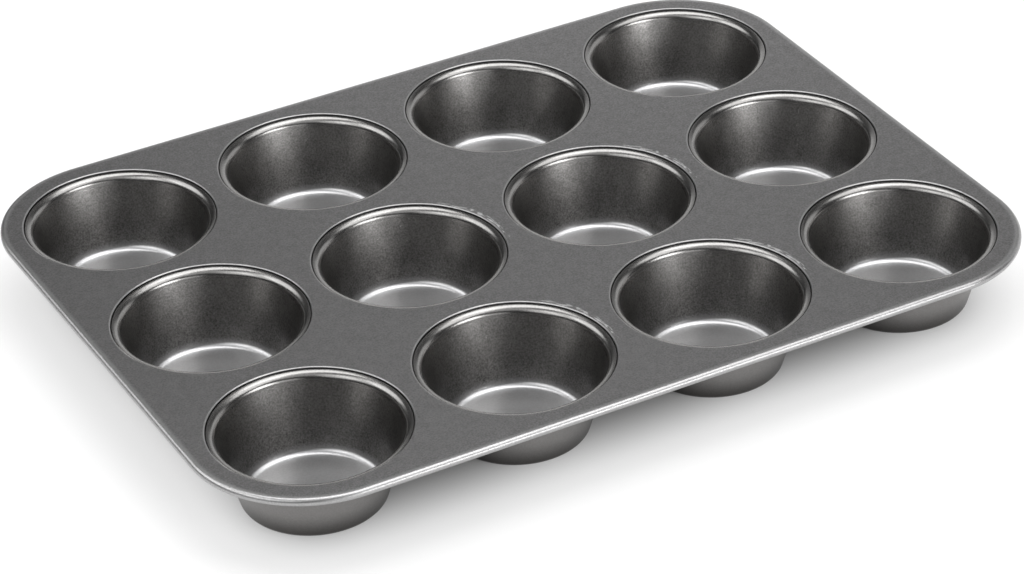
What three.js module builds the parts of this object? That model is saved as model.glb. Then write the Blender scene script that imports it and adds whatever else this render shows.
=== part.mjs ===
// Muffin pan with twelve cups, in coated sheet steel.
//
// A pierced top sheet carries twelve drawn cups. Each cup is locked to the sheet by a folded seam
// round its mouth, and the outer edge of the sheet is rolled round a closed loop of wire.
// Millimetres, +Z up. The origin is under the middle of the pan, on the surface it stands on.

import * as THREE from 'three';
import { mergeVertices } from 'three/addons/utils/BufferGeometryUtils.js';

// The grid of cups, and the sheet left between mouths and outside them
const columns = 4;
const rows = 3;
const webWidth = 8.6;
const rimMargin = 9.3;
const panHeight = 31;

// Stock
const sheetThickness = 0.3;
const cupThickness = 0.3;
const wireRadius = 1.15;

// Mouth in the sheet, and the seam that locks a cup to it
const mouthRadius = 38.2;
const mouthBend = 0.52;
const hookReach = 2.2;
const seamGap = 0.04;

// Cup
const shoulderInset = 0.5;
const shoulderRise = 0.4;
const stepClearance = 0.06;
const shoulderInsideBend = 2.9;
const wallTaper = THREE.MathUtils.degToRad(15.5);
const footBend = 2.8;

// Room for the wire in the rolled rim
const wireGap = 0.15;

// Facets
const circleSegments = 20;
const cornerSteps = 7;
const bendSteps = 2;
const curlSteps = 7;
const wireSides = 6;

const quarterTurn = Math.PI / 2;
const halfTurn = Math.PI;
const fullTurn = 2 * Math.PI;

// The corners of the pan are round about the corner cups, so it measures 350 by 265 overall
const cupPitch = 2 * mouthRadius + webWidth;
const cornerRadius = mouthRadius + rimMargin;
const halfSpanX = ((columns - 1) * cupPitch) / 2;
const halfSpanY = ((rows - 1) * cupPitch) / 2;

// Heights of the seam's layers, from the top of the sheet down: the sheet, the cup's fold,
// the sheet's hook and the cup's flange, with the seam's gap between each two
const foldTop = panHeight - sheetThickness - seamGap;
const foldUnderside = foldTop - cupThickness;
const hookTop = foldUnderside - seamGap;
const hookUnderside = hookTop - sheetThickness;
const flangeTop = hookUnderside - seamGap;
const flangeUnderside = flangeTop - cupThickness;

// Radii of the seam, from a cup's axis
const hookTipRadius = mouthRadius + hookReach;
const foldInsideRadius = hookTipRadius + seamGap;
const foldOutsideRadius = foldInsideRadius + cupThickness;
const foldTipRadius = mouthRadius + mouthBend + seamGap;

// The curl of the rim round its wire
const curlInsideRadius = wireRadius + wireGap;
const curlRadius = curlInsideRadius + sheetThickness;
const curlCentre = new THREE.Vector2(curlRadius, panHeight - curlRadius);

const coating = new THREE.MeshStandardMaterial({
  name: 'dark grey non-stick coating',
  color: 0x6c6e71,
  roughness: 0.42,
  metalness: 0.7,
});
const wireSteel = new THREE.MeshStandardMaterial({
  name: 'plain steel wire',
  color: 0xb4b6b8,
  roughness: 0.3,
  metalness: 1,
});

// Points along an arc, both ends included.
function arc(centre, radius, from, to, steps) {
  const points = [];
  for (let step = 0; step <= steps; step += 1) {
    const angle = THREE.MathUtils.lerp(from, to, step / steps);
    const reach = new THREE.Vector2(radius, 0).rotateAround(new THREE.Vector2(), angle);
    points.push(reach.add(centre));
  }
  return points;
}

// A ring round a cup's mouth, clockwise from above, as holes in a face run.
function mouthRing(place, { x: radius, y: height }) {
  const points = arc(place, radius, fullTurn, 0, circleSegments).slice(1);
  return points.map(({ x, y }) => new THREE.Vector3(x, y, height));
}

// A ring round the pan's rounded outline, anticlockwise from above, drawn in by an inset.
function outlineRing({ x: inset, y: height }) {
  const cornerCentres = [
    new THREE.Vector2(halfSpanX, halfSpanY),
    new THREE.Vector2(-halfSpanX, halfSpanY),
    new THREE.Vector2(-halfSpanX, -halfSpanY),
    new THREE.Vector2(halfSpanX, -halfSpanY),
  ];
  return cornerCentres.flatMap((centre, corner) => {
    const start = corner * quarterTurn;
    const points = arc(centre, cornerRadius - inset, start, start + quarterTurn, cornerSteps);
    return points.map(({ x, y }) => new THREE.Vector3(x, y, height));
  });
}

// Triangle corners of the strips that join each ring to the next one.
function stripsBetween(rings) {
  const corners = [];
  for (let index = 1; index < rings.length; index += 1) {
    const near = rings[index - 1];
    const far = rings[index];
    near.forEach((point, i) => {
      const next = (i + 1) % near.length;
      corners.push(point, far[next], near[next]);
      corners.push(point, far[i], far[next]);
    });
  }
  return corners;
}

// Triangle corners of a flat face with holes, facing up or down.
function flatFace(outline, holes, facesUp) {
  const points = [outline, ...holes].flat();
  const triangles = THREE.ShapeUtils.triangulateShape(outline, holes);
  return triangles.flatMap(([a, b, c]) => {
    const order = facesUp ? [a, b, c] : [a, c, b];
    return order.map((index) => points[index]);
  });
}

// One closed body from triangle corners.
function bodyFrom(corners) {
  const body = mergeVertices(new THREE.BufferGeometry().setFromPoints(corners));
  body.computeVertexNormals();
  return body;
}

// Places of the cups, row by row from the front, each row from the left.
function cupPlaces() {
  const places = [];
  for (let row = 0; row < rows; row += 1) {
    for (let column = 0; column < columns; column += 1) {
      const x = column * cupPitch - halfSpanX;
      const y = row * cupPitch - halfSpanY;
      places.push({ name: `cup_row${row + 1}_col${column + 1}`, x, y });
    }
  }
  return places;
}

// Section of the sheet round a mouth, from its top face to its underside:
// over the bend, down the collar, out along the hook and back.
function collarSection() {
  const bendCentre = new THREE.Vector2(mouthRadius + mouthBend, panHeight - mouthBend);
  return [
    ...arc(bendCentre, mouthBend, quarterTurn, halfTurn, bendSteps),
    new THREE.Vector2(mouthRadius, hookUnderside),
    new THREE.Vector2(hookTipRadius, hookUnderside),
    new THREE.Vector2(hookTipRadius, hookTop),
    new THREE.Vector2(mouthRadius + sheetThickness, hookTop),
    new THREE.Vector2(mouthRadius + sheetThickness, panHeight - sheetThickness),
  ];
}

// Section of the rolled rim, from the sheet's top face to its underside, with x as the inset:
// over and round the outside of the curl to its cut edge, and back along its inside.
function rimSection() {
  const cutEdgeRise = curlInsideRadius - seamGap;
  const curlEnd = fullTurn + Math.asin(cutEdgeRise / curlRadius);
  return [
    ...arc(curlCentre, curlRadius, quarterTurn, curlEnd, curlSteps),
    ...arc(curlCentre, curlInsideRadius, curlEnd, quarterTurn, curlSteps),
  ];
}

// The pierced sheet: two flat faces, a collar round each mouth and the rolled rim.
function topSheet() {
  const rim = rimSection().map(outlineRing);
  const collars = cupPlaces().map((place) => collarSection().map((point) => mouthRing(place, point)));
  const topFace = flatFace(rim[0], collars.map((rings) => rings[0]), true);
  const underside = flatFace(rim.at(-1), collars.map((rings) => rings.at(-1)), false);
  const corners = [topFace, underside, stripsBetween(rim), ...collars.map(stripsBetween)].flat();
  return bodyFrom(corners);
}

// The wire loop inside the curl.
function rimWire() {
  const section = arc(curlCentre, wireRadius, 0, fullTurn, wireSides);
  return bodyFrom(stripsBetween(section.map(outlineRing)));
}

// A drawn cup: floor, foot, tapered wall, shoulder, a step down past the sheet's collar, and the flange
// that folds over the sheet's hook.
function cup() {
  const shoulderBend = shoulderInsideBend + cupThickness;
  const shoulderTop = flangeTop + shoulderRise;
  const shoulderCentre = new THREE.Vector2(mouthRadius - shoulderInset, shoulderTop - shoulderBend);
  const stepRadius = mouthRadius - stepClearance;
  const stepSlope = Math.atan2(shoulderRise, stepRadius - shoulderCentre.x);
  const stepInsideRadius = stepRadius - cupThickness * Math.tan(stepSlope / 2);
  const shoulderStart = halfTurn - wallTaper;
  const wallTopRadius = shoulderCentre.x - shoulderBend * Math.cos(wallTaper);
  const wallTop = shoulderCentre.y + shoulderBend * Math.sin(wallTaper);
  const footHeight = cupThickness + footBend;
  const wallRadiusAtFoot = wallTopRadius - (wallTop - footHeight) * Math.tan(wallTaper);
  const footCentre = new THREE.Vector2(wallRadiusAtFoot - footBend / Math.cos(wallTaper), footHeight);
  const profile = [
    new THREE.Vector2(0, 0),
    ...arc(footCentre, footBend + cupThickness, -quarterTurn, -wallTaper, bendSteps),
    ...arc(shoulderCentre, shoulderInsideBend, shoulderStart, quarterTurn, bendSteps),
    new THREE.Vector2(stepInsideRadius, flangeUnderside),
    new THREE.Vector2(foldOutsideRadius, flangeUnderside),
    new THREE.Vector2(foldOutsideRadius, foldTop),
    new THREE.Vector2(foldTipRadius, foldTop),
    new THREE.Vector2(foldTipRadius, foldUnderside),
    new THREE.Vector2(foldInsideRadius, foldUnderside),
    new THREE.Vector2(foldInsideRadius, flangeTop),
    new THREE.Vector2(stepRadius, flangeTop),
    ...arc(shoulderCentre, shoulderBend, quarterTurn, shoulderStart, bendSteps),
    ...arc(footCentre, footBend, -wallTaper, -quarterTurn, bendSteps),
    new THREE.Vector2(0, cupThickness),
  ];
  return new THREE.LatheGeometry(profile, circleSegments).rotateX(quarterTurn);
}

function namedMesh(name, geometry, material) {
  const mesh = new THREE.Mesh(geometry, material);
  mesh.name = name;
  return mesh;
}

const pan = new THREE.Group();
pan.add(namedMesh('top_sheet', topSheet(), coating));
pan.add(namedMesh('rim_wire', rimWire(), wireSteel));

const cupGeometry = cup();
for (const { name, x, y } of cupPlaces()) {
  const mesh = namedMesh(name, cupGeometry, coating);
  mesh.position.set(x, y, 0);
  pan.add(mesh);
}

export default pan;
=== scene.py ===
"""Muffin pan in coated sheet steel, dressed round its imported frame.

A pierced top sheet with a rolled rim carries twelve drawn cups. The sheet's mouths turn down and hook
outwards, and each cup's flange folds over that hook. A wire loop lies inside the rolled rim.
Every length is in metres.
"""

import math

import bpy
from bpy.props import FloatProperty, FloatVectorProperty, IntProperty, PointerProperty
from bpy.types import Operator, Panel, PropertyGroup
from mathutils import Euler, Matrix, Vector


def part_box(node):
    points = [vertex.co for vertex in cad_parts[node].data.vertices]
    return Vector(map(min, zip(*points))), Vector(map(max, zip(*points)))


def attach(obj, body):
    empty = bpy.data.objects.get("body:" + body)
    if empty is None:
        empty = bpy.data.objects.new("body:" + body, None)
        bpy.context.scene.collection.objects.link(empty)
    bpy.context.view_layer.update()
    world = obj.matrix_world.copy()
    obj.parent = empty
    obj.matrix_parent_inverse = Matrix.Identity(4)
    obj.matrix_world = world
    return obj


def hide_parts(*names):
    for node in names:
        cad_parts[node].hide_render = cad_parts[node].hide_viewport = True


bl_info = {
    "name": "Muffin Pan",
    "version": (1, 0, 0),
    "blender": (4, 5, 0),
    "location": "View3D > Sidebar > Muffin Pan",
    "description": "Builds a muffin pan with seamed cups and a rolled rim round a packed frame",
    "category": "Object",
}

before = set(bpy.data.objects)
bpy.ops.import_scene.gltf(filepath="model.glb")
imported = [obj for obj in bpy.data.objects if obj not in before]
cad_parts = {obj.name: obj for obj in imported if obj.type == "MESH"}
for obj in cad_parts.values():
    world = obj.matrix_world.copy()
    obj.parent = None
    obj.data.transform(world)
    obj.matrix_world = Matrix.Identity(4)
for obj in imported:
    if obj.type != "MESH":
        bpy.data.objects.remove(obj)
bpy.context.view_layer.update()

# What the frame says of the pan, to a hundredth of a millimetre
DECIMALS = 5
BODY = "root"
SHEET_NODE = "top_sheet"
WIRE_NODE = "rim_wire"
CUP_NODES = sorted(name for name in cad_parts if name.startswith("cup_"))


def box_centre(node):
    """The middle of a node's box, on the floor."""
    low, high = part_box(node)
    return Vector(((low.x + high.x) / 2, (low.y + high.y) / 2, 0.0))


SHEET_LOW, SHEET_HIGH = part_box(SHEET_NODE)
CUP_LOW, CUP_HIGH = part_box(CUP_NODES[0])
CUP_PLACES = {node: box_centre(node) for node in CUP_NODES}
COLUMNS = len({round(place.x, DECIMALS) for place in CUP_PLACES.values()})
ROWS = len({round(place.y, DECIMALS) for place in CUP_PLACES.values()})
PAN_LENGTH = round(SHEET_HIGH.x - SHEET_LOW.x, DECIMALS)
PAN_WIDTH = round(SHEET_HIGH.y - SHEET_LOW.y, DECIMALS)
SHEET_TOP = round(SHEET_HIGH.z, DECIMALS)
PITCH = round((max(place.x for place in CUP_PLACES.values()) * 2) / (COLUMNS - 1), DECIMALS)
SEAM_RADIUS = round((CUP_HIGH.x - CUP_LOW.x) / 2, DECIMALS)
CORNER_RADIUS = round(PAN_LENGTH / 2 - (COLUMNS - 1) * PITCH / 2, DECIMALS)


def length(name, description, default):
    """A length setting."""
    return FloatProperty(
        name=name, description=description, default=default, min=0, precision=DECIMALS, unit="LENGTH"
    )


def share(name, description, default):
    """A setting from nothing to all."""
    return FloatProperty(name=name, description=description, default=default, min=0, max=1, subtype="FACTOR")


def turn(name, description, degrees):
    """An angle setting."""
    return FloatProperty(name=name, description=description, default=math.radians(degrees), unit="ROTATION")


def tint(name, description, default):
    """A colour setting."""
    return FloatVectorProperty(
        name=name, description=description, default=default, min=0, max=1, size=3, subtype="COLOR"
    )


class SheetSettings(PropertyGroup):
    """Sizes of the top sheet, its mouths and its rolled rim."""

    thickness: length("Sheet thickness", "Gauge of the top sheet", 0.0003)
    mouth_bend: length("Mouth bend", "Inside radius where a mouth's edge turns down", 0.00022)
    hook_reach: length("Hook reach", "How far the hook runs out under the sheet", 0.0022)
    seam_gap: length("Seam gap", "Room between the layers of the folded seam", 0.00004)
    crease: length("Crease", "Inside radius of the seam's tight folds", 0.00008)
    land: length("Land", "Flat strip beside each bend", 0.0004)
    wire_radius: length("Wire radius", "Radius of the wire in the rim", 0.00115)
    wire_gap: length("Wire gap", "Room between the wire and the curl", 0.00015)


class CupSettings(PropertyGroup):
    """Sizes of a drawn cup."""

    thickness: length("Cup thickness", "Gauge of a drawn cup", 0.0003)
    shoulder_inset: length("Shoulder inset", "From the mouth in to the middle of the shoulder's bend", 0.0005)
    shoulder_bend: length("Shoulder bend", "Inside radius of the shoulder", 0.0029)
    shoulder_rise: length("Shoulder rise", "Height of the shoulder over the flange", 0.0004)
    step_run: length("Step run", "How far out the step from shoulder to flange runs", 0.00024)
    step_gap: length("Step gap", "Room between the foot of the step and the mouth", 0.00006)
    step_bend: length("Step bend", "Inside radius at the top of the step", 0.00005)
    wall_taper: turn("Wall taper", "Lean of the wall from upright", 15.5)
    foot_bend: length("Foot bend", "Inside radius between wall and floor", 0.0028)


class FacetSettings(PropertyGroup):
    """How finely round forms are cut."""

    round_steps: IntProperty(name="Round steps", description="Points round a mouth", default=96, min=12)
    corner_steps: IntProperty(name="Corner steps", description="Points round a pan corner", default=28, min=4)
    bend_steps: IntProperty(name="Bend steps", description="Points round a bend", default=7, min=2)
    curl_steps: IntProperty(name="Curl steps", description="Points round the curl", default=36, min=8)
    wire_steps: IntProperty(name="Wire steps", description="Points round the wire", default=16, min=6)


class FinishSettings(PropertyGroup):
    """Colours, gloss and wear of the pan's surfaces."""

    coating: tint("Coating", "Colour of the coating on the top sheet", (0.290, 0.286, 0.287))
    wall: tint("Wall", "Colour of the coating on the walls and shoulders of the cups", (0.342, 0.335, 0.328))
    # Painted light: the cup floors get a lighter, cooler colour than the walls of the same coating, as if lit
    # from above and tinted by a reflection.
    base: tint("Base", "Colour of the coating on the floors of the cups", (0.560, 0.560, 0.567))
    outside: tint("Outside", "Colour of the coating outside the cups", (0.305, 0.297, 0.291))
    # Painted shade: this colour darkens the outside of each cup at its foot and under it.
    painted_outer_foot_shade: tint("Outer_foot_shade", "Colour of the coating at the foot of the cups outside", (0.085, 0.081, 0.078))
    # This colour is painted shade in the crevice of each mouth's seam.
    painted_seam_shade: tint("Seam_shade", "Colour of what is baked into the seam", (0.06, 0.06, 0.06))
    bare: tint("Bare", "Colour where the coating is rubbed or scratched", (0.78, 0.78, 0.78))
    wire: tint("Wire", "Colour of the plain wire", (0.56, 0.57, 0.58))
    metallic: share("Metallic", "How much of the coating reflects as metal", 1.0)
    mottle: share("Mottle", "Brightness of the coating's darkest clouds", 0.68)
    sheet_roughness: share("Sheet roughness", "Roughness of the top sheet", 0.38)
    cup_roughness: share("Cup roughness", "Roughness of the cups where they are smoothest", 0.23)
    wire_roughness: share("Wire roughness", "Roughness of the wire where it is smoothest", 0.25)
    rim_rub: share("Rim rub", "How bare the rolled rim is rubbed", 0.3)
    # Bared metal on the far edge of each mouth: partly wear, partly a painted highlight, as it is kept to the
    # far side.
    painted_lip_highlight: share("Lip wear", "How bare the far edge of a mouth is worn", 0.3)
    scratch: share("Scratch", "How bare a scratch or a speck is", 0.9)
    # Painted shade: this darkens the inside of each cup's wall towards its foot.
    painted_foot_shade: share("Wall_foot_shade", "How much darker the walls of the cups are towards the foot", 0.6)
    grain_size: length("Grain size", "Width of a grain in the coating", 0.0007)
    grain_depth: length("Grain depth", "Height of the coating's grain", 0.00004)
    mottle_size: length("Mottle size", "Width of a small cloud in the coating", 0.0007)
    cloud_size: length("Cloud size", "Width of a large cloud in the coating", 0.0045)
    speck_size: length("Speck size", "Radius of a pale speck", 0.0003)
    speck_spacing: length("Speck spacing", "Distance between places for a speck", 0.012)
    speck_share: share("Speck share", "Share of the places that hold a speck", 0.25)
    scuff_middle: turn("Scuff middle", "Where round a mouth the scuffs lie", 20.0)


class StageSettings(PropertyGroup):
    """Floor, lights and camera."""

    floor: tint("Floor", "Colour of the floor", (0.44, 0.44, 0.44))
    floor_roughness: share("Floor roughness", "Roughness of the floor", 0.9)
    floor_glow: share("Floor glow", "White that the floor adds away from the pan", 0.55)
    # What is left of the glow under the pan sets how deep the painted shadow there is.
    shaded_glow: share("Shaded glow", "Share of the floor's glow that is left under the pan", 0.09)
    surround: tint("Surround", "Colour of the light from all round", (0.03, 0.03, 0.03))
    azimuth: turn("Azimuth", "Camera's turn about the pan, from square on to its long side", -27.35)
    elevation: turn("Elevation", "Camera's height above the floor", 32.21)
    roll: turn("Roll", "Camera's turn about its own line of sight", -2.47)
    distance: length("Distance", "From the camera to the middle of the pan", 1.5512)
    lens: FloatProperty(name="Lens", description="Focal length in millimetres", default=137.38, unit="CAMERA")
    aim: FloatVectorProperty(
        name="Aim",
        description="Point on the floor at the middle of the picture",
        default=(0.0026, 0.0020, 0.0),
        unit="LENGTH",
    )


class Signal:
    """A node's output socket, which takes part in arithmetic by adding Math nodes."""

    def __init__(self, graph, socket):
        self.graph = graph
        self.socket = socket

    def __add__(self, other):
        return self.graph.maths("ADD", self, other)

    def __radd__(self, other):
        return self.graph.maths("ADD", other, self)

    def __sub__(self, other):
        return self.graph.maths("SUBTRACT", self, other)

    def __rsub__(self, other):
        return self.graph.maths("SUBTRACT", other, self)

    def __mul__(self, other):
        return self.graph.maths("MULTIPLY", self, other)

    def __rmul__(self, other):
        return self.graph.maths("MULTIPLY", other, self)

    def __truediv__(self, other):
        return self.graph.maths("DIVIDE", self, other)

    def __rtruediv__(self, other):
        return self.graph.maths("DIVIDE", other, self)


# Sockets of a Mix node that mixes colours
MIX_MASK, MIX_LOW, MIX_HIGH = 0, 6, 7
MIX_RESULT = 2


class Graph:
    """A shader or geometry tree, written as expressions."""

    def __init__(self, tree):
        self.tree = tree

    def feed(self, socket, value):
        """Links a signal, or each of a list of signals, or sets a plain value."""
        for item in value if isinstance(value, list) else [value]:
            if isinstance(item, Signal):
                self.tree.links.new(item.socket, socket)
            else:
                socket.default_value = item

    def node(self, kind, settings=None, sockets=None, output=0):
        """Adds a node: its settings first, then the values or links of its sockets.

        The setting "choices" is how many values an Index Switch picks from.
        """
        node = self.tree.nodes.new(kind)
        for name, value in (settings or {}).items():
            if name == "choices":
                while len(node.index_switch_items) < value:
                    node.index_switch_items.new()
            else:
                setattr(node, name, value)
        for key, value in (sockets or {}).items():
            self.feed(node.inputs[key], value)
        return Signal(self, node.outputs[output])

    def maths(self, operation, *values):
        """A Math node."""
        return self.node("ShaderNodeMath", {"operation": operation}, dict(enumerate(values)))

    def past(self, value, edge, origin=0.0):
        """0 before a soft edge and 1 after it. The edge is its start and its end, from an origin."""
        start, end = (origin + place for place in edge)
        sockets = {"Value": value, "From Min": start, "From Max": end}
        return self.node("ShaderNodeMapRange", {"interpolation_type": "SMOOTHSTEP"}, sockets)

    def vector(self, x=0.0, y=0.0, z=0.0):
        """A vector from three numbers."""
        return self.node("ShaderNodeCombineXYZ", None, {"X": x, "Y": y, "Z": z})

    def mix_colour(self, mask, low, high):
        """Colour low where the mask is 0 and high where it is 1."""
        sockets = {MIX_MASK: mask, MIX_LOW: low, MIX_HIGH: high}
        return self.node("ShaderNodeMix", {"data_type": "RGBA"}, sockets, output=MIX_RESULT)


SOCKET_TYPES = {int: "NodeSocketInt", float: "NodeSocketFloat", bpy.types.Material: "NodeSocketMaterial"}


def geometry_graph(name, sizes):
    """A new geometry tree with a named input for each size, as a graph and its inputs."""
    tree = bpy.data.node_groups.new(name, "GeometryNodeTree")
    for label, value in sizes.items():
        kind = "NodeSocketVector" if isinstance(value, Vector) else SOCKET_TYPES[type(value)]
        tree.interface.new_socket(label, in_out="INPUT", socket_type=kind)
    tree.interface.new_socket("Geometry", in_out="OUTPUT", socket_type="NodeSocketGeometry")
    graph = Graph(tree)
    entry = tree.nodes.new("NodeGroupInput")
    return graph, {label: Signal(graph, entry.outputs[label]) for label in sizes}


def pick_by_index(graph, data_type, values):
    """A field that gives each point its own value from a list."""
    settings = {"data_type": data_type, "choices": len(values)}
    sockets = {place + 1: value for place, value in enumerate(values)}
    sockets["Index"] = graph.node("GeometryNodeInputIndex")
    return graph.node("GeometryNodeIndexSwitch", settings, sockets)


INNER_FACE = "inner_face"


def bent_line(graph, corners, steps, inner_count=0):
    """An open section through corners of (distance out, height, bend radius), with its bends rounded.

    The first corners are marked as the inner face.
    """
    places = [graph.vector(out, 0 - height) for out, height, bend in corners]
    line = graph.node("GeometryNodeMeshLine", None, {"Count": len(corners)})
    position = pick_by_index(graph, "VECTOR", places)
    line = graph.node("GeometryNodeSetPosition", None, {"Geometry": line, "Position": position})
    inner = graph.maths("LESS_THAN", graph.node("GeometryNodeInputIndex"), inner_count)
    sockets = {"Geometry": line, "Name": INNER_FACE, "Value": inner}
    line = graph.node("GeometryNodeStoreNamedAttribute", {"data_type": "FLOAT", "domain": "POINT"}, sockets)
    curve = graph.node("GeometryNodeMeshToCurve", None, {"Mesh": line})
    radius = pick_by_index(graph, "FLOAT", [bend for out, height, bend in corners])
    sockets = {"Curve": curve, "Count": steps, "Radius": radius}
    return graph.node("GeometryNodeFilletCurve", {"mode": "POLY"}, sockets)


def sweep(graph, path, section):
    """The skin that a section leaves along a path."""
    return graph.node("GeometryNodeCurveToMesh", None, {"Curve": path, "Profile Curve": section})


def circle(graph, radius, steps):
    """A circle about the origin."""
    sockets = {"Resolution": steps, "Radius": radius}
    return graph.node("GeometryNodeCurvePrimitiveCircle", {"mode": "RADIUS"}, sockets)


def join(graph, *parts):
    """Several geometries as one."""
    return graph.node("GeometryNodeJoinGeometry", None, {"Geometry": list(parts)})


def shift(graph, geometry, x=0.0, y=0.0, z=0.0):
    """Geometry moved along the axes."""
    sockets = {"Geometry": geometry, "Translation": graph.vector(x, y, z)}
    return graph.node("GeometryNodeTransform", None, sockets)


def realize(graph, geometry):
    """Instances made into plain geometry."""
    return graph.node("GeometryNodeRealizeInstances", None, {"Geometry": geometry})


SEAM_WELD = 1e-6
SHARP_ANGLE = math.radians(38)


def close_tree(graph, geometry, material):
    """Welds the skins, shades them smooth up to a sharp edge, and ends the tree."""
    welded = graph.node(
        "GeometryNodeMergeByDistance", None, {"Geometry": geometry, "Distance": SEAM_WELD}
    )
    smooth = graph.node("GeometryNodeSetShadeSmooth", {"domain": "FACE"}, {"Geometry": welded})
    angle = graph.node("GeometryNodeInputMeshEdgeAngle")
    sharp = graph.maths("GREATER_THAN", angle, SHARP_ANGLE)
    edged = graph.node(
        "GeometryNodeSetShadeSmooth",
        {"domain": "EDGE"},
        {"Geometry": smooth, "Selection": sharp, "Shade Smooth": False},
    )
    sockets = {"Geometry": realize(graph, edged), "Material": material}
    finished = graph.node("GeometryNodeSetMaterial", None, sockets)
    exit_node = graph.tree.nodes.new("NodeGroupOutput")
    graph.feed(exit_node.inputs["Geometry"], finished)


def seam_layers(size, top):
    """Heights of the folded seam's faces under a sheet whose top is at the given height."""
    gap = size["Seam gap"]
    fold_top = top - size["Sheet thickness"] - gap
    fold_under = fold_top - size["Cup thickness"]
    hook_top = fold_under - gap
    hook_under = hook_top - size["Sheet thickness"]
    flange_top = hook_under - gap
    return fold_top, fold_under, hook_top, hook_under, flange_top


def cup_tree(sizes):
    """A drawn cup: floor, foot, tapered wall, shoulder, and the flange folded over the sheet's hook."""
    graph, size = geometry_graph("Cup", sizes)
    gauge = size["Cup thickness"]
    taper = size["Wall taper"]
    crease = size["Crease"]
    fold_top, fold_under, _, _, flange_top = seam_layers(size, size["Sheet top"])
    flange_under = flange_top - gauge
    crest = flange_top + size["Shoulder rise"]
    crest_under = crest - gauge

    shoulder_top = size["Shoulder bend"] + gauge
    shoulder_axis = size["Mouth radius"] - size["Shoulder inset"]
    half_turn_in = graph.maths("TANGENT", (math.pi / 2 - taper) / 2)
    lean = graph.maths("TANGENT", taper)
    shoulder_inside = shoulder_axis - shoulder_top * half_turn_in
    shoulder_outside = shoulder_axis - size["Shoulder bend"] * half_turn_in
    foot_inside = shoulder_inside - (crest - gauge) * lean
    foot_outside = shoulder_outside - crest_under * lean

    step_foot = size["Mouth radius"] - size["Step gap"]
    step_head = step_foot - size["Step run"]
    step_slope = graph.maths("ARCTAN2", size["Shoulder rise"], size["Step run"])
    step_set_in = gauge * graph.maths("TANGENT", step_slope / 2)
    fold_inside = size["Mouth radius"] + size["Hook reach"] + size["Seam gap"]
    fold_outside = fold_inside + gauge
    fold_tip = size["Mouth radius"] + size["Mouth bend"] + size["Sheet thickness"] + size["Seam gap"]
    corners = [
        (0.0, gauge, 0.0),
        (foot_inside, gauge, size["Foot bend"]),
        (shoulder_inside, crest, shoulder_top),
        (step_head, crest, size["Step bend"] + gauge),
        (step_foot, flange_top, crease),
        (fold_inside, flange_top, crease),
        (fold_inside, fold_under, crease),
        (fold_tip, fold_under, 0.0),
        (fold_tip, fold_top, 0.0),
        (fold_outside, fold_top, crease + gauge),
        (fold_outside, flange_under, crease + gauge),
        (step_foot - step_set_in, flange_under, crease + gauge),
        (step_head - step_set_in, crest_under, size["Step bend"]),
        (shoulder_outside, crest_under, size["Shoulder bend"]),
        (foot_outside, 0.0, size["Foot bend"] + gauge),
        (0.0, 0.0, 0.0),
    ]
    path_radius = size["Mouth radius"]
    section_corners = [(out - path_radius, height, bend) for out, height, bend in corners]
    section = bent_line(graph, section_corners, size["Bend steps"], inner_count=len(corners) // 2)
    shell = sweep(graph, circle(graph, path_radius, size["Round steps"]), section)
    placed = graph.node(
        "GeometryNodeTransform", None, {"Geometry": shell, "Translation": size["Place"]}
    )
    close_tree(graph, placed, size["Material"])
    return graph.tree


def outline_path(graph, size, inset):
    """The pan's rounded outline, drawn in by an inset."""
    corner = graph.node(
        "GeometryNodeCurvePrimitiveQuadrilateral",
        None,
        {"Width": size["Pan length"] - 2 * inset, "Height": size["Pan width"] - 2 * inset},
    )
    sockets = {"Curve": corner, "Count": size["Corner steps"], "Radius": size["Corner radius"] - inset}
    return graph.node("GeometryNodeFilletCurve", {"mode": "POLY"}, sockets)


def arc(graph, radius, start, sweep_angle, steps):
    """An arc about the origin, measured from the outward direction towards the floor."""
    sockets = {"Resolution": steps, "Radius": radius, "Start Angle": start, "Sweep Angle": sweep_angle}
    return graph.node("GeometryNodeCurveArc", {"mode": "RADIUS"}, sockets)


def line_between(graph, start, end):
    """A straight line between two points of a section."""
    return graph.node("GeometryNodeCurvePrimitiveLine", None, {"Start": start, "End": end})


def rim_section(graph, size, curl_inside, land):
    """The rolled rim, from the sheet's top face round the curl to its cut edge, and back inside it."""
    gauge = size["Sheet thickness"]
    curl = curl_inside + gauge
    upright = -math.pi / 2
    three_quarters = 3 * math.pi / 2
    rise = graph.maths("ARCSINE", (curl_inside - size["Seam gap"]) / curl)
    round_turn = rise + three_quarters
    end_angle = round_turn + upright
    steps = size["Curl steps"]
    outside = shift(graph, arc(graph, curl, upright, round_turn, steps), land, curl)
    inside = shift(graph, arc(graph, curl_inside, end_angle, 0 - round_turn, steps), land, curl)
    across = graph.maths("COSINE", end_angle)
    down = graph.maths("SINE", end_angle)
    cut_outside = graph.vector(land + curl * across, curl + curl * down)
    cut_inside = graph.vector(land + curl_inside * across, curl + curl_inside * down)
    return join(
        graph,
        line_between(graph, graph.vector(), graph.vector(land)),
        outside,
        line_between(graph, cut_outside, cut_inside),
        inside,
        line_between(graph, graph.vector(land, gauge), graph.vector(0.0, gauge)),
    )


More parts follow.
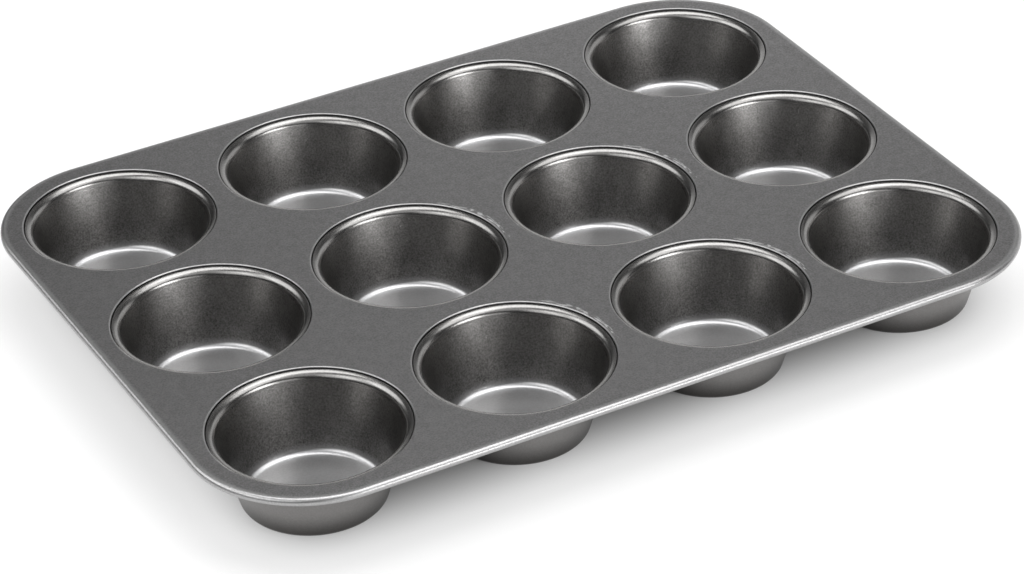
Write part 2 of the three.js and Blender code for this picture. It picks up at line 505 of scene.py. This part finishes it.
def sheet_tree(sizes):
    """The pierced sheet: two flat faces, a hooked collar round each mouth and the rolled rim."""
    graph, size = geometry_graph("Top sheet", sizes)
    gauge = size["Sheet thickness"]
    land = size["Land"]
    crease = size["Crease"]
    mouth = size["Mouth radius"]
    bend = size["Mouth bend"] + gauge
    under = 0 - gauge
    _, _, hook_top, hook_under, _ = seam_layers(size, 0.0)

    land_edge = mouth + bend + land
    hook_tip = mouth + size["Hook reach"]
    corners = [
        (land_edge, under, 0.0),
        (mouth + gauge, under, size["Mouth bend"]),
        (mouth + gauge, hook_top, crease),
        (hook_tip, hook_top, 0.0),
        (hook_tip, hook_under, 0.0),
        (mouth, hook_under, crease + gauge),
        (mouth, 0.0, bend),
        (land_edge, 0.0, 0.0),
    ]
    section = bent_line(
        graph, [(out - land_edge, height, radius) for out, height, radius in corners], size["Bend steps"]
    )
    mouth_edge = circle(graph, land_edge, size["Round steps"])
    collar = sweep(graph, mouth_edge, section)

    spots = graph.node(
        "GeometryNodeMeshGrid",
        None,
        {
            "Size X": (size["Columns"] - 1) * size["Pitch"],
            "Size Y": (size["Rows"] - 1) * size["Pitch"],
            "Vertices X": size["Columns"],
            "Vertices Y": size["Rows"],
        },
    )
    at_each = {"Points": spots}
    collars = graph.node("GeometryNodeInstanceOnPoints", None, {**at_each, "Instance": collar})
    holes = graph.node("GeometryNodeInstanceOnPoints", None, {**at_each, "Instance": mouth_edge})

    curl_inside = size["Wire radius"] + size["Wire gap"]
    outline = outline_path(graph, size, curl_inside + gauge + land)
    rim = sweep(graph, outline, rim_section(graph, size, curl_inside, land))
    face_edges = join(graph, outline, realize(graph, holes))
    top_face = graph.node("GeometryNodeFillCurve", {"mode": "TRIANGLES"}, {"Curve": face_edges})
    under_face = graph.node("GeometryNodeFlipFaces", None, {"Mesh": shift(graph, top_face, z=under)})
    sheet = join(graph, top_face, under_face, rim, realize(graph, collars))
    close_tree(graph, shift(graph, sheet, z=size["Sheet top"]), size["Material"])
    return graph.tree


def wire_tree(sizes):
    """The wire loop, swept along the middle of the curl."""
    graph, size = geometry_graph("Rim wire", sizes)
    curl = size["Wire radius"] + size["Wire gap"] + size["Sheet thickness"]
    section = circle(graph, size["Wire radius"], size["Wire steps"])
    loop = sweep(graph, outline_path(graph, size, curl), section)
    close_tree(graph, shift(graph, loop, z=size["Sheet top"] - curl), size["Material"])
    return graph.tree


def grow(name, tree, sizes):
    """Runs a geometry tree on a new object and keeps its result as a plain mesh."""
    piece = bpy.data.objects.new(name, bpy.data.meshes.new(name))
    bpy.context.scene.collection.objects.link(piece)
    modifier = piece.modifiers.new("Grow", "NODES")
    modifier.node_group = tree
    for item in tree.interface.items_tree:
        if item.in_out == "INPUT":
            modifier[item.identifier] = sizes[item.name]
    piece.modifiers.new("Flat faces stay flat", "WEIGHTED_NORMAL").keep_sharp = True
    evaluated = piece.evaluated_get(bpy.context.evaluated_depsgraph_get())
    mesh = bpy.data.meshes.new_from_object(evaluated)
    mesh.name = name
    piece.modifiers.clear()
    piece.data = mesh
    return piece


def seam_sizes(scene):
    """Sizes that the sheet and the cups share at a mouth."""
    sheet = scene.pan_sheet
    cup = scene.pan_cup
    return {
        "Sheet top": SHEET_TOP,
        "Mouth radius": SEAM_RADIUS - cup.thickness - sheet.seam_gap - sheet.hook_reach,
        "Sheet thickness": sheet.thickness,
        "Cup thickness": cup.thickness,
        "Mouth bend": sheet.mouth_bend,
        "Hook reach": sheet.hook_reach,
        "Seam gap": sheet.seam_gap,
        "Crease": sheet.crease,
        "Round steps": scene.pan_facets.round_steps,
        "Bend steps": scene.pan_facets.bend_steps,
    }


def outline_sizes(scene):
    """Sizes that the sheet and the wire share at the rim."""
    sheet = scene.pan_sheet
    return {
        "Pan length": PAN_LENGTH,
        "Pan width": PAN_WIDTH,
        "Corner radius": CORNER_RADIUS,
        "Sheet top": SHEET_TOP,
        "Sheet thickness": sheet.thickness,
        "Wire radius": sheet.wire_radius,
        "Wire gap": sheet.wire_gap,
        "Corner steps": scene.pan_facets.corner_steps,
    }


def opaque(colour):
    """A colour setting as the four numbers that a socket takes."""
    return (*colour, 1.0)


def surface_graph(name):
    """A new material, as its graph and its shader."""
    material = bpy.data.materials.new(name)
    material.use_nodes = True
    return material, Graph(material.node_tree), material.node_tree.nodes["Principled BSDF"]


# The value that noise lies about, and how much detail it has
NOISE_MIDDLE = 0.5
PLAIN_DETAIL = 1.0
SOFT_DETAIL = 2.0
FINE_DETAIL = 3.0


def noise(graph, place, size, detail=SOFT_DETAIL):
    """Noise whose lumps have a given size."""
    sockets = {"Vector": place, "Scale": 1 / size, "Detail": detail}
    return graph.node("ShaderNodeTexNoise", None, sockets)


def object_place(graph):
    """A point's place in the pan's own frame."""
    return graph.node("ShaderNodeTexCoord", output="Object")


def split(graph, place):
    """The three coordinates of a place."""
    return [graph.node("ShaderNodeSeparateXYZ", None, {"Vector": place}, output=axis) for axis in "XYZ"]


def cell_offset(graph, coordinate, count):
    """Distance along one axis from the middle of the grid cell that holds a point."""
    cells = coordinate / PITCH + (count % 2) / 2
    return graph.maths("FRACT", cells) * PITCH - PITCH / 2


def hypot(graph, x, y):
    """Length of a step of x and y."""
    return graph.maths("SQRT", x * x + y * y)


def from_cup_axis(graph, x, y):
    """How far a point lies across, along and straight out from the axis of the cup in its grid cell."""
    across = cell_offset(graph, x, COLUMNS)
    along = cell_offset(graph, y, ROWS)
    return across, along, hypot(graph, across, along)


def outline_distance(graph, x, y):
    """Distance outside the pan's outline, below 0 inside it."""
    beyond_x = graph.maths("ABSOLUTE", x) - (PAN_LENGTH / 2 - CORNER_RADIUS)
    beyond_y = graph.maths("ABSOLUTE", y) - (PAN_WIDTH / 2 - CORNER_RADIUS)
    outside = hypot(graph, graph.maths("MAXIMUM", beyond_x, 0.0), graph.maths("MAXIMUM", beyond_y, 0.0))
    inside = graph.maths("MINIMUM", graph.maths("MAXIMUM", beyond_x, beyond_y), 0.0)
    return outside + inside - CORNER_RADIUS


def specks(graph, place, finish):
    """A few tiny pale specks, as a mask."""
    sockets = {"Vector": place, "Scale": 1 / finish.speck_spacing}
    spread = graph.node("ShaderNodeTexVoronoi", None, sockets, output="Distance")
    lot = graph.node("ShaderNodeTexVoronoi", None, sockets, output="Color")
    rare = graph.maths("GREATER_THAN", split(graph, lot)[0], 1 - finish.speck_share)
    edge = finish.speck_size / finish.speck_spacing
    return (1 - graph.past(spread, (edge / 2, edge))) * rare


# Where scuffs lie. Each soft edge is a start and an end: radians from the middle of the scuffs, metres out
# from the seam's radius, metres across and along the pan, and values of the patchy noise. The stray is how
# far that noise moves the outer edge.
SCUFF_ARC_EDGE = (0.3, 0.8)
SCUFF_INNER_EDGE = (-0.0022, -0.0016)
SCUFF_OUTER_EDGE = (-0.0010, 0.0012)
SCUFF_LEFT_EDGE = (-0.050, -0.030)
SCUFF_RIGHT_EDGE = (0.0842, 0.0850)
SCUFF_BACK_EDGE = (0.0420, 0.0430)
SCUFF_PATCH_EDGE = (0.26, 0.42)
SCUFF_STRAY = 0.004

# A scratch among the scuffs: its width in metres, its turn round the mouth in radians, its soft edge in the
# noise, and how far the noise is lowered where no scuffs lie
SCRATCH_WIDTH = 0.0006
SCRATCH_TURN = 0.09
SCRATCH_EDGE = (0.42, 0.54)
SCRATCH_LOWERED = 0.4


def scuffs(graph, x, y, radius, angle, patch, finish):
    """Broken pale scratches beside the mouths near the middle of the pan, as a mask."""
    facing = 1 - graph.past(graph.maths("ABSOLUTE", angle - finish.scuff_middle), SCUFF_ARC_EDGE)
    stray = radius + (patch - NOISE_MIDDLE) * SCUFF_STRAY
    near = graph.past(radius, SCUFF_INNER_EDGE, SEAM_RADIUS)
    near = near * (1 - graph.past(stray, SCUFF_OUTER_EDGE, SEAM_RADIUS))
    side = graph.past(x, SCUFF_LEFT_EDGE) * (1 - graph.past(x, SCUFF_RIGHT_EDGE))
    side = side * (1 - graph.past(y, SCUFF_BACK_EDGE))
    streak = noise(graph, graph.vector(radius / SCRATCH_WIDTH, angle / SCRATCH_TURN), 1.0, FINE_DETAIL)
    clear = 1 - facing * near * side * graph.past(patch, SCUFF_PATCH_EDGE)
    return graph.past(streak - clear * SCRATCH_LOWERED, SCRATCH_EDGE)


SMALL_CLOUDS = 2.8
LARGE_CLOUDS = 0.7


def clouds(graph, place, finish):
    """Small and large clouds in the coating, about nothing."""
    small = noise(graph, place, finish.mottle_size, FINE_DETAIL) - NOISE_MIDDLE
    large = noise(graph, place, finish.cloud_size) - NOISE_MIDDLE
    return small * SMALL_CLOUDS + large * LARGE_CLOUDS


# Tone of a coating without clouds, and how far grain spreads the roughness of the sheet and the wire
MIDDLE_TONE = 0.5
GLOSS_SPREAD = 0.15


def finish_coating(graph, shader, finish, colour, tone, bare, seam, roughness, height):
    """Joins the coating's layers to its shader."""
    shade = graph.node(
        "ShaderNodeVectorMath", {"operation": "SCALE"}, {0: colour, "Scale": 1 - tone * (1 - finish.mottle)}
    )
    # The bare colour covers real wear and scratches, and the painted highlight on the far edge of each mouth.
    worn = graph.mix_colour(bare, shade, opaque(finish.bare))
    # Where the seam mask lies, the colour is painted shade in the seam's crevice.
    graph.feed(shader.inputs["Base Color"], graph.mix_colour(seam, worn, opaque(finish.painted_seam_shade)))
    shader.inputs["Metallic"].default_value = finish.metallic
    graph.feed(shader.inputs["Roughness"], roughness)
    bump = {"Strength": 1.0, "Distance": finish.grain_depth, "Height": height}
    graph.feed(shader.inputs["Normal"], graph.node("ShaderNodeBump", None, bump))


# Marks on the sheet. Each soft edge is a start and an end in metres: out from a mouth's radius, back from the
# middle of a cup, up from the sheet's top, and out from the pan's outline.
COLLAR_EDGE = (0.0008, 0.0012)
# The bared lip, partly wear and partly a painted highlight, lies on the far side of each mouth only.
LIP_EDGE = (0.0004, 0.0008)
LIP_BACK_EDGE = (-0.024, -0.004)
SEAM_TOP_EDGE = (-0.0004, -0.0002)
RIM_RUB_EDGE = (-0.0034, -0.0018)

# All mouths lie further in from the outline than this, so no mark of theirs is drawn on the rim
MOUTHS_INSIDE = -0.008

# Width of a patch of scuffs, and how strong the sheet's clouds and grain are
SCUFF_PATCH_SIZE = 0.009
SHEET_CLOUDS = 1.2
SHEET_GRAIN = 0.5


def sheet_coating(scene):
    """Coating on the top sheet: mottling, a rubbed rim, a bared far edge on each mouth that is partly wear
    and partly a painted highlight, scuffs by the mouths and painted shade in the seams.
    """
    finish = scene.pan_finish
    material, graph, shader = surface_graph("Sheet coating")
    place = object_place(graph)
    x, y, z = split(graph, place)
    across, along, radius = from_cup_axis(graph, x, y)
    angle = graph.maths("ARCTAN2", along, across)
    mouth = seam_sizes(scene)["Mouth radius"]
    outward = outline_distance(graph, x, y)
    within = graph.maths("LESS_THAN", outward, MOUTHS_INSIDE)
    collar = (1 - graph.past(radius, COLLAR_EDGE, mouth)) * within
    # Bared far edge of each mouth: partly wear, partly a painted highlight.
    lip_highlight = (1 - graph.past(radius, LIP_EDGE, mouth)) * within * graph.past(along, LIP_BACK_EDGE)
    # Painted shade down the collar below the sheet's top, in the seam's crevice.
    seam = collar * (1 - graph.past(z, SEAM_TOP_EDGE, SHEET_TOP))
    grain = noise(graph, place, finish.grain_size, FINE_DETAIL)
    patch = noise(graph, graph.vector(x, y), SCUFF_PATCH_SIZE, PLAIN_DETAIL)
    tone = clouds(graph, place, finish) * SHEET_CLOUDS + MIDDLE_TONE
    rub = graph.past(outward, RIM_RUB_EDGE) * finish.rim_rub
    scratches = scuffs(graph, x, y, radius, angle, patch, finish)
    pale = graph.maths("MAXIMUM", scratches, specks(graph, place, finish))
    # Bare mixes real wear and scratches with the lip's painted highlight.
    bare = graph.maths("MAXIMUM", rub + lip_highlight * finish.painted_lip_highlight, pale * finish.scratch)
    roughness = finish.sheet_roughness + (grain - NOISE_MIDDLE) * GLOSS_SPREAD
    height = grain * SHEET_GRAIN
    finish_coating(graph, shader, finish, finish.coating, tone, bare, seam, roughness, height)
    return material


# Zones of a cup. Each soft edge is a start and an end in metres: out from the mouth's radius, up from the
# sheet's top, and up from the floor.
CUP_SEAM_EDGE = (-0.00012, -0.00005)
SHOULDER_EDGE = (-0.0050, -0.0025)
WALL_EDGE = (0.0012, 0.0045)
# The painted shade at the foot of a wall fades out between these heights.
PAINTED_FOOT_SHADE_EDGE = (0.006, 0.020)
# The painted shade on the outside of a cup fades out between these heights.
OUTER_FOOT_SHADE_EDGE = (0.0, 0.013)

# Faint lines that drawing leaves on a wall: how many to a radian round it and to a metre up it, and their
# tone. The clearance avoids a division by nothing on a cup's axis.
DRAW_LINES_ROUND = 24.0
DRAW_LINES_UP = 90.0
DRAW_LINE_TONE = 0.4
AXIS_CLEARANCE = 0.0001

# How strong the clouds and the grain are all over a cup, and what its wall adds
CUP_CLOUDS = 0.3
WALL_CLOUDS = 1.2
CUP_GRAIN = 0.2
WALL_GRAIN = 1.0

# Roughness that each zone of a cup adds, and how far grain and draw lines spread it
OUTSIDE_DULL = 0.12
BASE_DULL = 0.1
SHOULDER_DULL = 0.02
WALL_DULL = 0.06
CUP_GLOSS_SPREAD = 0.05


def cup_coating(scene):
    """Coating on the cups: grain, draw lines and painted shade towards the foot on the wall, a smoother floor
    painted lighter and cooler as if lit, and painted shade at the foot outside.
    """
    finish = scene.pan_finish
    material, graph, shader = surface_graph("Cup coating")
    place = object_place(graph)
    x, y, z = split(graph, place)
    across, along, radius = from_cup_axis(graph, x, y)
    radius = radius + AXIS_CLEARANCE
    mouth = seam_sizes(scene)["Mouth radius"]
    # Painted shade in the seam's crevice, on the cup from the foot of its step outwards.
    seam = graph.past(radius, CUP_SEAM_EDGE, mouth)
    inner = graph.node("ShaderNodeAttribute", {"attribute_name": INNER_FACE}, output="Fac")
    shoulder = graph.past(z, SHOULDER_EDGE, SHEET_TOP)
    upright = graph.past(z, WALL_EDGE)
    wall = upright * (1 - shoulder) * inner
    grain = noise(graph, place, finish.grain_size, FINE_DETAIL)
    round_wall = graph.vector(
        across / radius * DRAW_LINES_ROUND, along / radius * DRAW_LINES_ROUND, z * DRAW_LINES_UP
    )
    draw_lines = (noise(graph, round_wall, 1.0, FINE_DETAIL) - NOISE_MIDDLE) * wall
    mottling = clouds(graph, place, finish) * (CUP_CLOUDS + wall * WALL_CLOUDS)
    # Painted shade: the wall darkens towards the foot of the cup.
    painted_foot_shade = (1 - graph.past(z, PAINTED_FOOT_SHADE_EDGE)) * wall * finish.painted_foot_shade
    tone = mottling + draw_lines * DRAW_LINE_TONE + MIDDLE_TONE + painted_foot_shade
    bare = specks(graph, place, finish) * finish.scratch
    # Painted light: the floors of the cups are coloured lighter than their walls.
    inside = graph.mix_colour(upright, opaque(finish.base), opaque(finish.wall))
    # Painted shade: the outside darkens towards the foot of the cup.
    outside = graph.mix_colour(graph.past(z, OUTER_FOOT_SHADE_EDGE), opaque(finish.painted_outer_foot_shade), opaque(finish.outside))
    colour = graph.mix_colour(inner, outside, inside)
    dull_inside = (1 - upright) * BASE_DULL + shoulder * SHOULDER_DULL
    dull = (1 - inner) * OUTSIDE_DULL + dull_inside * inner + wall * WALL_DULL
    spread = (grain - NOISE_MIDDLE) * CUP_GLOSS_SPREAD + draw_lines * CUP_GLOSS_SPREAD
    roughness = finish.cup_roughness + dull + spread
    height = grain * (CUP_GRAIN + wall * WALL_GRAIN)
    finish_coating(graph, shader, finish, colour, tone, bare, seam, roughness, height)
    return material


def wire_material(finish):
    """Plain drawn wire."""
    material, graph, shader = surface_graph("Rim wire")
    place = object_place(graph)
    grain = noise(graph, place, finish.grain_size)
    shade = [finish.mottle * part for part in finish.wire]
    graph.feed(shader.inputs["Base Color"], graph.mix_colour(grain, opaque(finish.wire), opaque(shade)))
    shader.inputs["Metallic"].default_value = 1.0
    graph.feed(shader.inputs["Roughness"], finish.wire_roughness + grain * GLOSS_SPREAD)
    return material


class PAN_OT_sheet(Operator):
    """Builds the pierced top sheet with its rolled rim"""

    bl_idname = "pan.sheet"
    bl_label = "Top sheet"

    def execute(self, context):
        scene = context.scene
        sizes = {
            **seam_sizes(scene),
            **outline_sizes(scene),
            "Land": scene.pan_sheet.land,
            "Columns": COLUMNS,
            "Rows": ROWS,
            "Pitch": PITCH,
            "Curl steps": scene.pan_facets.curl_steps,
            "Material": sheet_coating(scene),
        }
        piece = grow("pierced_sheet", sheet_tree(sizes), sizes)
        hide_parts(SHEET_NODE)
        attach(piece, BODY)
        return {"FINISHED"}


class PAN_OT_cups(Operator):
    """Builds the drawn cups, each locked over its mouth's hook"""

    bl_idname = "pan.cups"
    bl_label = "Cups"

    def execute(self, context):
        scene = context.scene
        cup = scene.pan_cup
        sizes = {
            **seam_sizes(scene),
            "Shoulder inset": cup.shoulder_inset,
            "Shoulder bend": cup.shoulder_bend,
            "Shoulder rise": cup.shoulder_rise,
            "Step run": cup.step_run,
            "Step gap": cup.step_gap,
            "Step bend": cup.step_bend,
            "Wall taper": cup.wall_taper,
            "Foot bend": cup.foot_bend,
            "Place": Vector(),
            "Material": cup_coating(scene),
        }
        tree = cup_tree(sizes)
        for node, place in CUP_PLACES.items():
            piece = grow(node.replace("cup", "drawn_cup"), tree, {**sizes, "Place": place})
            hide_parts(node)
            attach(piece, BODY)
        return {"FINISHED"}


class PAN_OT_wire(Operator):
    """Builds the wire loop inside the rolled rim"""

    bl_idname = "pan.wire"
    bl_label = "Rim wire"

    def execute(self, context):
        scene = context.scene
        sizes = {
            **outline_sizes(scene),
            "Wire steps": scene.pan_facets.wire_steps,
            "Material": wire_material(scene.pan_finish),
        }
        piece = grow("wire_loop", wire_tree(sizes), sizes)
        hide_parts(WIRE_NODE)
        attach(piece, BODY)
        return {"FINISHED"}


FLOOR_HALF = 3.0
LAMP_DISTANCE = 1.5

# Where the floor's glow starts and where it is full, in metres out from the pan's outline. The dimmer glow
# under and near the pan is a painted shadow.
GLOW_EDGE = (-0.042, -0.006)

# Softboxes as seen from the pan: turn from straight behind, clockwise from above, and rise over the floor,
# both in degrees, then width and height in metres, and brightness
SOFTBOXES = {
    "overhead": (27, 78, 1.3, 1.15, 3.2),
    "right_high": (124, 61, 1.2, 1.2, 2.5),
    "front_high": (203, 60, 1.2, 1.0, 0.7),
    "left_back": (314, 39, 1.1, 0.95, 2.3),
    "left": (274, 42, 1.2, 0.9, 1.5),
    "left_front": (245, 37, 1.0, 0.9, 1.5),
    "front_low": (180, 12, 1.15, 0.7, 1.0),
    "right_low": (156, 17, 0.9, 0.65, 5.2),
    "right_back": (78, 15, 1.2, 0.8, 0.9),
    "back_low": (32, 17, 1.4, 0.7, 0.95),
}


def floor_material(stage):
    """Pale matt floor, which shows still paler to the camera and to the metal away from the pan; its glow
    fades under and near the pan as a painted shadow.
    """
    material, graph, shader = surface_graph("Floor")
    shader.inputs["Base Color"].default_value = opaque(stage.floor)
    shader.inputs["Roughness"].default_value = stage.floor_roughness
    shader.inputs["Specular IOR Level"].default_value = 0.0
    x, y, _ = split(graph, object_place(graph))
    # Painted shadow: the glow fades from the pan's outline in to under the pan.
    clear = graph.past(outline_distance(graph, x, y), GLOW_EDGE)
    strength = stage.shaded_glow + clear * (1 - stage.shaded_glow)
    seen = graph.node("ShaderNodeLightPath", output="Is Camera Ray")
    mirrored = graph.node("ShaderNodeLightPath", output="Is Glossy Ray")
    glow = strength * graph.maths("MAXIMUM", seen, mirrored) * stage.floor_glow
    graph.feed(shader.inputs["Emission Color"], graph.vector(glow, glow, glow))
    shader.inputs["Emission Strength"].default_value = 1.0
    return material


def direction(azimuth, elevation):
    """The way to a light at a turn from straight behind and a height, in degrees."""
    turn_angle = math.radians(azimuth)
    rise = math.radians(elevation)
    return Vector(
        (math.sin(turn_angle) * math.cos(rise), math.cos(turn_angle) * math.cos(rise), math.sin(rise))
    )


def add_softbox(name, azimuth, elevation, width, height, brightness):
    """A soft panel of light that faces the pan."""
    light = bpy.data.lights.new(name, "AREA")
    light.shape = "ELLIPSE"
    light.size = width
    light.size_y = height
    area = math.pi * width * height / 4
    light.energy = brightness * math.pi * area
    lamp = bpy.data.objects.new(name, light)
    bpy.context.scene.collection.objects.link(lamp)
    way = direction(azimuth, elevation)
    lamp.location = way * LAMP_DISTANCE
    lamp.rotation_euler = way.to_track_quat("Z", "Y").to_euler()


class PAN_OT_stage(Operator):
    """Builds the floor, the lights and the camera"""

    bl_idname = "pan.stage"
    bl_label = "Stage"

    def execute(self, context):
        scene = context.scene
        stage = scene.pan_stage
        self.add_floor(scene, stage)
        self.add_lights(scene, stage)
        self.add_camera(scene, stage)
        scene.view_settings.view_transform = "Standard"
        return {"FINISHED"}

    def add_floor(self, scene, stage):
        """A flat floor under the cups."""
        half = FLOOR_HALF
        corners = [(-half, -half, 0), (half, -half, 0), (half, half, 0), (-half, half, 0)]
        mesh = bpy.data.meshes.new("floor")
        mesh.from_pydata(corners, [], [(0, 1, 2, 3)])
        mesh.materials.append(floor_material(stage))
        floor = bpy.data.objects.new("floor", mesh)
        scene.collection.objects.link(floor)

    def add_lights(self, scene, stage):
        """Softboxes round the pan, and even light from all round."""
        world = bpy.data.worlds.new("Surround")
        world.use_nodes = True
        world.node_tree.nodes["Background"].inputs["Color"].default_value = opaque(stage.surround)
        scene.world = world
        for name, softbox in SOFTBOXES.items():
            add_softbox(name, *softbox)

    def add_camera(self, scene, stage):
        """A camera at the photograph's viewing angle."""
        camera = bpy.data.cameras.new("camera")
        camera.lens = stage.lens
        viewer = bpy.data.objects.new("camera", camera)
        scene.collection.objects.link(viewer)
        facing = Euler((math.pi / 2 - stage.elevation, 0, stage.azimuth)).to_matrix()
        viewer.location = Vector(stage.aim) + facing @ Vector((0, 0, stage.distance))
        viewer.rotation_euler = (facing @ Euler((0, 0, stage.roll)).to_matrix()).to_euler()
        scene.camera = viewer


class PAN_PT_panel(Panel):
    """Lists the pan's pieces and settings"""

    bl_label = "Muffin Pan"
    bl_idname = "PAN_PT_panel"
    bl_space_type = "VIEW_3D"
    bl_region_type = "UI"
    bl_category = "Muffin Pan"

    def draw(self, context):
        layout = self.layout
        for name, (label, group) in SETTINGS.items():
            settings_box = layout.box()
            settings_box.label(text=label)
            for key in group.__annotations__:
                settings_box.prop(getattr(context.scene, name), key)
        for operator in OPERATORS:
            layout.operator(operator.bl_idname)


SETTINGS = {
    "pan_sheet": ("Sheet", SheetSettings),
    "pan_cup": ("Cup", CupSettings),
    "pan_facets": ("Facets", FacetSettings),
    "pan_finish": ("Finish", FinishSettings),
    "pan_stage": ("Stage", StageSettings),
}
OPERATORS = (PAN_OT_stage, PAN_OT_sheet, PAN_OT_cups, PAN_OT_wire)


def register():
    """Registers the settings, operators and panel."""
    for name, (_, group) in SETTINGS.items():
        bpy.utils.register_class(group)
        setattr(bpy.types.Scene, name, PointerProperty(type=group))
    for operator in OPERATORS:
        bpy.utils.register_class(operator)
    bpy.utils.register_class(PAN_PT_panel)


def unregister():
    """Takes back what register added."""
    bpy.utils.unregister_class(PAN_PT_panel)
    for operator in reversed(OPERATORS):
        bpy.utils.unregister_class(operator)
    for name, (_, group) in reversed(SETTINGS.items()):
        delattr(bpy.types.Scene, name)
        bpy.utils.unregister_class(group)


def main():
    """Builds the scene."""
    register()
    bpy.ops.pan.stage()
    bpy.ops.pan.sheet()
    bpy.ops.pan.cups()
    bpy.ops.pan.wire()


if __name__ == "__main__":
    main()
